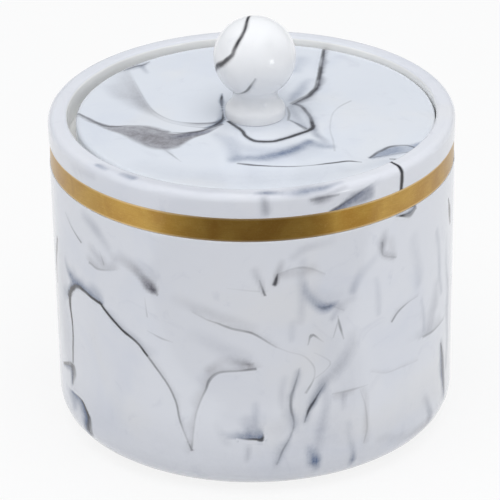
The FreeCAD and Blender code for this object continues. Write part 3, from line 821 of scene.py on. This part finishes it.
LID_HAZES = [
    # the lower swirl, and the one above it, which fades to the left
    Haze([(-43.9, 2.7, 0.9, 0.2), (-40.8, -1.4, 1.1, 0.3), (-37, -5.4, 1.2, 0.45), (-34.3, -7.1, 2, 0.5),
          (-31.6, -8.2, 3.2, 0.55), (-28.1, -10, 5.2, 0.58), (-25.2, -12.3, 5.6, 0.62),
          (-22, -14.5, 6.2, 0.6), (-19.6, -13.9, 4.7, 0.62), (-17.4, -12.8, 3.1, 0.64),
          (-13.8, -10.4, 1.9, 0.6), (-10.9, -8.2, 1.4, 0.4), (-9, -6.4, 1.1, 0.2)], 0.08, edge=0.35),
    Haze([(-22, -19, 1.2, 0.3), (-20.5, -22.5, 1.2, 0.12)], 0.2),
    Haze([(-20, -13, 2.4, 0.15), (-16, -11.5, 2.2, 0.35), (-12, -9.4, 1.6, 0.35), (-10, -7, 1.4, 0.2)], 0.8),
    Haze([(-31.8, 29.5, 5, 0.1), (-30, 21, 8.5, 0.24), (-28.4, 14.2, 9, 0.34), (-26.9, 8.3, 7, 0.4),
          (-25.4, 3.8, 4.4, 0.34), (-23.5, 0.4, 2.8, 0.2), (-20.7, -2.7, 2.2, 0.14),
          (-17.5, -4.2, 2.4, 0.2), (-13.7, -4.9, 2.6, 0.36), (-10.5, -4.5, 2, 0.35)], 0.12, side=-1),
    Haze([(-36, 18, 3.5, 0.1), (-33.5, 12, 3.5, 0.12)], 0.3),
    Haze([(-34, 27, 1.2, 0.1), (-31, 29.4, 1.8, 0.4), (-28.5, 30.8, 1.8, 0.45), (-26.9, 32.6, 1, 0.3)], 0.5),
    Haze([(-28.1, 30, 1.3, 0.4), (-27, 26, 1.1, 0.15)], 0.6),
    Haze([(-11, -6.6, 1.6, 0.2), (-8.8, -4.6, 1.8, 0.4), (-8.4, 1, 1.2, 0.15), (-8.4, 8, 1.3, 0.25)], 0.9),
    # the light blue patches at the front and at the right wedge
    Haze([(-5.5, -26, 2.4, 0.2), (-2.7, -25.4, 2.8, 0.4), (0.4, -25.5, 3, 0.45), (3.8, -24.5, 3.4, 0.55),
          (7.7, -22, 3.6, 0.6), (10.6, -19.6, 3.2, 0.52), (12.8, -16.7, 2.6, 0.36)], 0.85),
    Haze([(12.8, -16.7, 2.6, 0.3), (15.5, -18.6, 3, 0.36), (17.9, -19.2, 2.4, 0.36)], 0.85),
    Haze([(-6, -15, 3.2, 0.1), (-5.5, -21, 3.2, 0.18), (-5, -26, 2.8, 0.26)], 0.8),
    Haze([(14.2, -9.8, 1.8, 0.36), (15, -13, 2, 0.4), (17, -16.5, 2, 0.2)], 0.6),
    Haze([(27.5, -26, 1.2, 0.4), (30.5, -23.8, 2.6, 0.52), (33.5, -22.3, 3.2, 0.5), (36.5, -21.2, 2.8, 0.36),
          (39.2, -19.4, 2, 0.5), (41.6, -16.3, 1, 0.15)], 1, edge=0.7),
    Haze([(-3, -23, 6, 0.1), (5, -24.5, 6, 0.12), (13, -21, 6, 0.12)], 0.9),
    Haze([(22, -33, 4, 0.08), (31, -29, 4, 0.12)], 0.9),
    Haze([(-27, -29, 6, 0.06), (-14, -36, 7, 0.1), (4, -38, 8, 0.13), (18, -34, 7, 0.08)], 0.6),
    Haze([(-9, -12, 3, 0.16), (-5, -18, 4, 0.12), (2, -21, 4, 0.1), (10, -19, 4, 0.12)], 0.8),
    Haze([(9.6, 26.6, 3.6, 0.2), (11.4, 33, 4, 0.16)], 1),
    Haze([(13.3, 20.2, 2.4, 0.16), (11.2, 14.2, 2.6, 0.32), (9.2, 8, 2, 0.3)], 0.9),
    Haze([(9, 4, 1.6, 0.24), (11.5, -7, 2.4, 0.2)], 0.6),
]
# The ball: bearing, latitude
KNOB_VEINS = [
    Vein([(-166, 50, 0.3), (-166, 66, 0.35), (-60, 79, 0.35), (-30, 63, 0.35), (-29, 52, 0.4),
          (-31, 44, 0.42), (-34, 31, 0.5), (-36, 21, 0.5), (-49, 8, 0.62), (-60, 0, 0.7), (-67, -5, 0.6),
          (-78, -17, 0.35)], left=0.8, right=0.6, smoke=0.4, blue=0),
    Vein([(-1, -11, 0.15), (-8, -23, 0.25), (-15, -33, 0.25), (-41, -48, 0.15), (-51, -48, 0.08)], 0.65,
         left=1.5, smoke=0.25),
]
KNOB_HAZES = [
    Haze([(30, 35, 4, 0.06), (60, 10, 4, 0.06)], 0.3),
    Haze([(150, 20, 4, 0.3), (190, -20, 5, 0.3)], 0.5),
]


# Materials

class Shader(NodeTree):
    """A material's nodes."""

    def __init__(self, name):
        self.material = bpy.data.materials.new(name)
        self.material.use_nodes = True
        super().__init__(self.material.node_tree)
        self.tree.nodes.clear()
        self.here = self.add("ShaderNodeTexCoord", {}, {}, "Object")

    def attribute(self, name):
        return self.add("ShaderNodeAttribute", {"attribute_name": name}, {}, "Fac")

    def stretched(self, scale):
        """Object coordinates in millimetres, scaled along each axis."""
        return self.add("ShaderNodeMapping", {}, {"Vector": self.here, "Scale": [s / MM for s in scale]})

    def noise(self, per_mm, detail, distortion=0, roughness=0.5, where=None):
        where = where or self.stretched((1, 1, 1))
        return self.add("ShaderNodeTexNoise", {}, {"Vector": where, "Scale": per_mm, "Detail": detail,
                                                   "Roughness": roughness, "Distortion": distortion})

    def mix(self, share, first, second):
        return self.add("ShaderNodeMix", {"data_type": "RGBA"}, {0: share, 6: first, 7: second}, 2)

    def bump(self, height, distance_mm, strength):
        sockets = {"Height": height, "Distance": distance_mm * MM, "Strength": strength}
        return self.add("ShaderNodeBump", {}, sockets)

    def end(self, surface):
        self.add("ShaderNodeOutputMaterial", {}, {"Surface": surface})
        return self.material

    def finish(self, sockets):
        """Ends the material in one surface with the given socket values."""
        return self.end(self.add("ShaderNodeBsdfPrincipled", {}, sockets))


def colour(r, g, b):
    return (r, g, b, 1)


def marbled_resin(name, white, drifts, cream_glow_radius=None):
    """White resin with black-brown veins, blue-grey and taupe smoke, under a glossy skin.

    Nearer the jar's axis than the given radius, the ground is a plain cream tone, and it is painted
    lighter than the outside's, standing in for light that shines through the resin.
    """
    s = Shader(name)
    haze, smoke, side, blue, along, across = (s.attribute(name) for name in (
        "haze", "smoke", "smoke_side", "smoke_blue", "smoke_along", "smoke_across"))

    # veins: their edges wander a little, and their ink is uneven
    wander = s.noise(0.25, 2) - 0.5
    strength = None
    for layer in range(VEIN_LAYERS):
        offset, gap, width, ink = (s.attribute(f"vein_{layer}_{part}") for part in VEIN_PARTS)
        depth = abs(offset + wander * width)
        depth = depth.math("MAXIMUM", depth, gap - FACET_BLUR)
        core = depth.between(width + LINE_SOFTNESS, width * 0.3) * ink
        strength = core if strength is None else core.math("MAXIMUM", core, strength)
    strength = strength * (0.55 + s.noise(0.12, 2).between(0.3, 0.55) * 0.45)

    # smoke: cut off crisply at its vein's edge, with streaks along the stroke and clouds
    cut = (across * side).between(-0.15, 0.25)
    smoke = smoke * (1 - abs(side) * (1 - cut))
    total = 1 - (1 - haze) * (1 - smoke)
    flow = s.add("ShaderNodeCombineXYZ", {}, {0: along * 0.06, 1: across * 0.5, 2: blue * 3})
    streaks = s.noise(1, 4, where=flow)
    clouds = s.noise(0.3, 4, distortion=1.2, roughness=0.6)
    grain = s.noise(1.6, 3, roughness=0.7)
    dense = total * (0.1 + streaks * 0.75 + clouds * 0.75 + grain * 0.6)

    # the ground: faint drifts, cream patches and darker wisps
    drift = s.noise(0.045, 4, distortion=0.8).between(0.45, 0.8)
    cream = s.noise(0.03, 3, distortion=0.5).between(0.5, 0.68)
    wisps = s.noise(0.07, 6, distortion=2.2, roughness=0.62).between(0.56, 0.74)
    ground = s.mix(drift * 0.5, white, drifts)
    ground = s.mix(cream * 0.3, ground, colour(0.82, 0.81, 0.795))
    ground = s.mix(wisps * 0.25, ground, colour(0.56, 0.58, 0.66))
    # painted light: inside and under the jar the ground turns a lighter cream, standing in for light through
    # the resin
    if cream_glow_radius:
        radius = s.add("ShaderNodeVectorMath", {"operation": "LENGTH"}, {0: s.stretched((1, 1, 0))}, "Value")
        cream_glow_inside = radius.between(cream_glow_radius + 0.3, cream_glow_radius)
        ground = s.mix(cream_glow_inside, ground, colour(0.94, 0.935, 0.91))
    smoke_colour = s.mix(blue, colour(0.15, 0.13, 0.135), colour(0.06, 0.115, 0.24))
    clouded = s.mix(dense, ground, smoke_colour)
    shade = s.mix(strength, clouded, colour(0.012, 0.012, 0.018))

    ripple = s.bump(s.noise(0.05, 2), 0.5, 0.5)
    return s.finish({"Base Color": shade, "Roughness": 0.1 + s.noise(0.4, 3) * 0.06, "IOR": 1.5,
                     "Coat Weight": 0.15, "Coat Roughness": 0.03, "Normal": ripple})


def gilt_metal():
    """Lacquered gilt strip, rubbed along its length, with a painted highlight along its two edges."""
    s = Shader("gilt metal")
    rub = s.noise(1, 3, where=s.stretched((0.4, 0.4, 7)))
    patches = s.noise(0.12, 4, distortion=0.6)
    grain = s.noise(2.2, 3)
    shade = s.mix(patches.between(0.3, 0.75), colour(0.5, 0.275, 0.055), colour(0.66, 0.415, 0.095))
    shade = s.mix(rub.between(0.4, 0.8) * 0.4, shade, colour(0.4, 0.2, 0.035))
    shade = s.mix(grain.between(0.5, 0.8) * 0.25, shade, colour(0.8, 0.58, 0.2))
    # painted highlight: the colour is lightened along the strip's top and bottom edges, where light catches
    # them
    half_width = (band_high.z - band_low.z) / 2
    height = s.add("ShaderNodeSeparateXYZ", {}, {0: s.stretched((1, 1, 1))}, 2)
    edge = abs(height - (band_low.z + half_width)).between(half_width - 0.6, half_width - 0.15)
    shade = s.mix(edge * 0.6, shade, colour(0.95, 0.75, 0.42))
    return s.finish({"Base Color": shade, "Metallic": 1.0, "Roughness": 0.4 + patches * 0.14,
                     "Anisotropic": 0.85, "Anisotropic Rotation": 0.25,
                     "Coat Weight": 0.4, "Coat Roughness": 0.1, "Normal": s.bump(grain, 0.01, 0.6)})


def grained(name, per_mm, detail, dark, light, roughness, spread, relief_mm, metallic=0.0,
            stretch=(1, 1, 1)):
    """A plain finish with one grain, which moves its colour, roughness and surface."""
    s = Shader(name)
    grain = s.noise(per_mm, detail, where=s.stretched(stretch))
    return s.finish({"Base Color": s.mix(grain, dark, light), "Metallic": metallic,
                     "Roughness": roughness + grain * spread, "Normal": s.bump(grain, relief_mm, 0.5)})


jar_resin = marbled_resin("jar resin", colour(0.775, 0.79, 0.84), colour(0.67, 0.70, 0.79), mouth_radius)
lid_resin = marbled_resin("lid resin", colour(0.75, 0.785, 0.845), colour(0.66, 0.705, 0.80))
# one resin in copies: the knob's white is painted much lighter than the jar's and the lid's, standing in for
# light on its shaded underside
knob_resin_painted_lighter = marbled_resin("knob resin", colour(0.925, 0.93, 0.945), colour(0.85, 0.865, 0.90))
gilt = gilt_metal()
rubber = grained("pad rubber", 3, 3, colour(0.60, 0.61, 0.60), colour(0.72, 0.73, 0.71), 0.55, 0.2, 0.05)
steel = grained("screw steel", 2.5, 3, colour(0.50, 0.51, 0.53), colour(0.66, 0.67, 0.68), 0.25, 0.2, 0.03,
                metallic=1.0)
brass = grained("insert brass", 1, 2, colour(0.55, 0.38, 0.14), colour(0.72, 0.55, 0.26), 0.3, 0.15, 0.03,
                metallic=1.0, stretch=(0.3, 0.3, 8))


# Pieces

def vertices_mm(piece):
    places = np.empty(len(piece.data.vertices) * 3)
    piece.data.vertices.foreach_get("co", places)
    return places.reshape(-1, 3) / MM


def flat_line(line):
    """A stroke in flat coordinates, with a zero third place."""
    return np.insert(line, 2, 0, axis=1)


def up(count):
    return np.tile((0.0, 0.0, 1.0), (count, 1))


def unrolled(line):
    """A stroke on the wall: the bearing becomes a length along the rim's circle."""
    flat = flat_line(line)
    flat[:, 0] = np.radians(flat[:, 0]) * rim_radius
    return flat


def way_over_jar(places):
    """Each vertex's bearing as a length, and its way up the wall, over the rim and down inside."""
    x, y, z = places.T
    radius = np.hypot(x, y)
    inside = (radius < mouth_radius + HAIR) & (z > floor_z - HAIR)
    inwards = (rim_radius - radius) * (z > rim_z - RIM_TURN)
    way = np.where(inside, rim_z + RIM_WIDTH + (rim_z - z), z + inwards)
    under = (~inside) & (z < base_z + BASE_ROUNDING) & (radius < wall_radius(base_z) - BASE_ROUNDING)
    way = np.where(under, radius - wall_radius(base_z) + BASE_ROUNDING, way)
    along = np.arctan2(x, -y) * rim_radius
    return np.column_stack([along, way, np.zeros(len(way))])


def make_jar():
    jar = turned("marbled_jar", jar_outline(), JAR_SEGMENTS, jar_resin)
    inside = [rim_z + RIM_WIDTH + depth for depth in INSIDE_DEPTHS]
    rng = np.random.default_rng(UNSEEN_SEED)
    unseen = [unseen_strokes(rng, bearing, *OUTSIDE_HEIGHTS) for bearing in OUTSIDE_BEARINGS]
    unseen += [unseen_strokes(rng, bearing, *inside) for bearing in INSIDE_BEARINGS]
    turns = (-360, 0, 360)
    veins = [vein.turned_by(turn) for vein, _ in unseen for turn in turns]
    hazes = [haze.turned_by(turn) for _, group in unseen for haze in group for turn in turns]
    places = way_over_jar(vertices_mm(jar))
    stain(jar, places, up(len(places)), WALL_VEINS + veins, WALL_HAZES + hazes, unrolled)
    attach(jar, "jar_body")
    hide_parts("jar")


def make_band():
    gap = STRIP_JOINT_GAP / band_radius
    band = turned("gilt_strip", band_outline(), JAR_SEGMENTS, gilt, start=math.pi / 2 + gap / 2,
                  sweep=2 * math.pi - gap)
    shell = bmesh.new()
    shell.from_mesh(band.data)
    bmesh.ops.holes_fill(shell, edges=[edge for edge in shell.edges if edge.is_boundary])
    bmesh.ops.recalc_face_normals(shell, faces=shell.faces)
    shell.to_mesh(band.data)
    shell.free()
    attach(band, "jar_body")
    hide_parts("gold_band")


def make_lid():
    lid = turned("marbled_lid", lid_outline(), LID_SEGMENTS, lid_resin, lid_centre[:2])
    places = vertices_mm(lid) - np.array((lid_centre.x, lid_centre.y, 0))
    places[:, 2] = 0
    stain(lid, places, up(len(places)), LID_VEINS, LID_HAZES, flat_line)
    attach(lid, "lid_body")
    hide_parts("lid")


def on_ball(line):
    """A stroke of bearings and latitudes laid on the ball's surface."""
    bearing, latitude = np.radians(line[:, 0]), np.radians(line[:, 1])
    spots = np.column_stack([np.sin(bearing) * np.cos(latitude), -np.cos(bearing) * np.cos(latitude),
                             np.sin(latitude)]) * ball_radius
    return np.column_stack([spots, line[:, 2:]])


def make_knob():
    knob = turned("marbled_knob", knob_outline(), KNOB_SEGMENTS, knob_resin_painted_lighter, lid_centre[:2])
    places = vertices_mm(knob) - np.array((lid_centre.x, lid_centre.y, ball_z))
    outward = places / np.linalg.norm(places, axis=1, keepdims=True)
    stain(knob, places, outward, KNOB_VEINS, KNOB_HAZES, on_ball)
    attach(knob, "lid_body")
    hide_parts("knob")


def make_pads():
    names = sorted(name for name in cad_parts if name.startswith("foot_pad"))
    low, high = box_mm(names[0])
    centre = (low + high) / 2
    pad = turned("pad", pad_outline((high.x - low.x) / 2, high.z), PAD_SEGMENTS, rubber)
    values = {"Count": len(names), "Circle Radius": centre.xy.length * MM,
              "First Angle": math.atan2(centre.y, centre.x), "Material": rubber}
    pads = through_tree(pad, "ring", values, "rubber_pads")
    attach(pads, "jar_body")
    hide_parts(*names)


def finish_fixing():
    """The screw, washer and bush keep their own shapes and get their metal."""
    for name, metal in (("knob_screw", steel), ("screw_washer", steel), ("knob_insert", brass)):
        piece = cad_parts[name]
        piece.data.materials.clear()
        piece.data.materials.append(metal)


# Stage

def make_camera():
    tilt = math.radians(CAMERA_ELEVATION)
    roll = math.radians(CAMERA_ROLL)
    back = Vector((0, -math.cos(tilt), math.sin(tilt)))
    level_right = Vector((1, 0, 0))
    level_up = back.cross(level_right)
    right = level_right * math.cos(roll) - level_up * math.sin(roll)
    upward = level_right * math.sin(roll) + level_up * math.cos(roll)
    lens = bpy.data.cameras.new("camera")
    lens.lens = CAMERA_LENS
    lens.sensor_width = SENSOR_WIDTH
    lens.clip_end = 20
    camera = bpy.data.objects.new("camera", lens)
    place = (Vector(LOOK_AT) + back * CAMERA_DISTANCE) * MM
    camera.matrix_world = Matrix.Translation(place) @ Matrix((right, upward, back)).transposed().to_4x4()
    bpy.context.scene.collection.objects.link(camera)
    bpy.context.scene.camera = camera


def seen_directly(s):
    """1 for rays from the camera and for those that gloss or glass sends on, 0 for light."""
    camera, glossy, sent_through = (s.add("ShaderNodeLightPath", {}, {}, ray) for ray in (
        "Is Camera Ray", "Is Glossy Ray", "Is Transmission Ray"))
    return camera.math("MINIMUM", camera + glossy + sent_through, 1)


def flat_sheet(name, corners, material):
    mesh = bpy.data.meshes.new(name)
    mesh.from_pydata(corners, [], [(0, 1, 2, 3)])
    mesh.materials.append(material)
    sheet = bpy.data.objects.new(name, mesh)
    bpy.context.scene.collection.objects.link(sheet)
    return sheet


def make_floor():
    """A plain floor: a lit surface to the light, and nearly its own white to the eye."""
    s = Shader("pale floor")
    plain = s.add("ShaderNodeBsdfDiffuse", {}, {"Color": colour(0.82, 0.82, 0.82)})
    white = s.add("ShaderNodeEmission", {}, {"Color": colour(1, 1, 1), "Strength": 1.0})
    mixed = s.add("ShaderNodeMixShader", {}, {0: seen_directly(s) * FLOOR_WHITENESS, 1: plain, 2: white})
    half = FLOOR_WIDTH / 2
    floor = flat_sheet("floor", [(-half, -half, 0), (half, -half, 0), (half, half, 0), (-half, half, 0)],
                       s.end(mixed))


def make_dark_card():
    """A dark card on the floor in front, for the strip to mirror; the camera doesn't see it."""
    s = Shader("dark card")
    plain = s.add("ShaderNodeBsdfDiffuse", {}, {"Color": colour(0.07, 0.04, 0.03)})
    near, far, height = -0.09, -0.9, 0.001
    card = flat_sheet("dark card", [(-0.12, near, height), (0.2, near, height), (0.5, far, height),
                                    (-0.4, far, height)], s.end(plain))
    card.visible_camera = False
    card.visible_diffuse = False
    card.visible_shadow = False


def make_world():
    world = bpy.data.worlds.new("studio")
    world.use_nodes = True
    background = world.node_tree.nodes["Background"]
    background.inputs["Color"].default_value = colour(0.93, 0.96, 1.0)
    background.inputs["Strength"].default_value = WORLD_STRENGTH
    bpy.context.scene.world = world


def soft_box(name, bearing, elevation, distance, size, watts, in_gloss=True):
    """A soft box at a bearing and elevation from the jar, facing it; gloss may leave it out."""
    light = bpy.data.lights.new(name, "AREA")
    light.shape = "RECTANGLE"
    light.size, light.size_y = size
    light.energy = watts
    lamp = bpy.data.objects.new(name, light)
    lamp.visible_glossy = in_gloss
    turn, rise = math.radians(bearing), math.radians(elevation)
    away = Vector((math.sin(turn) * math.cos(rise), -math.cos(turn) * math.cos(rise), math.sin(rise)))
    facing = away.to_track_quat("Z", "Y").to_matrix().to_4x4()
    lamp.matrix_world = Matrix.Translation(Vector(LAMP_TARGET) + away * distance) @ facing
    bpy.context.scene.collection.objects.link(lamp)


make_jar()
make_band()
make_lid()
make_knob()
make_pads()
finish_fixing()
make_camera()
make_floor()
make_dark_card()
make_world()
soft_box("overhead box", 0, 80, 1.2, (1.2, 1.2), 10.5, in_gloss=False)
soft_box("front box", 0, 25, 1.3, (1.2, 0.8), 0.4, in_gloss=False)
soft_box("left box", -68, 22, 1.2, (0.6, 0.9), 1.4)
soft_box("right box", 92, 22, 1.2, (1.2, 0.9), 1.3)
soft_box("right spot", 48, 5, 1.3, (0.28, 0.28), 1)

bpy.context.scene.view_settings.view_transform = "Standard"
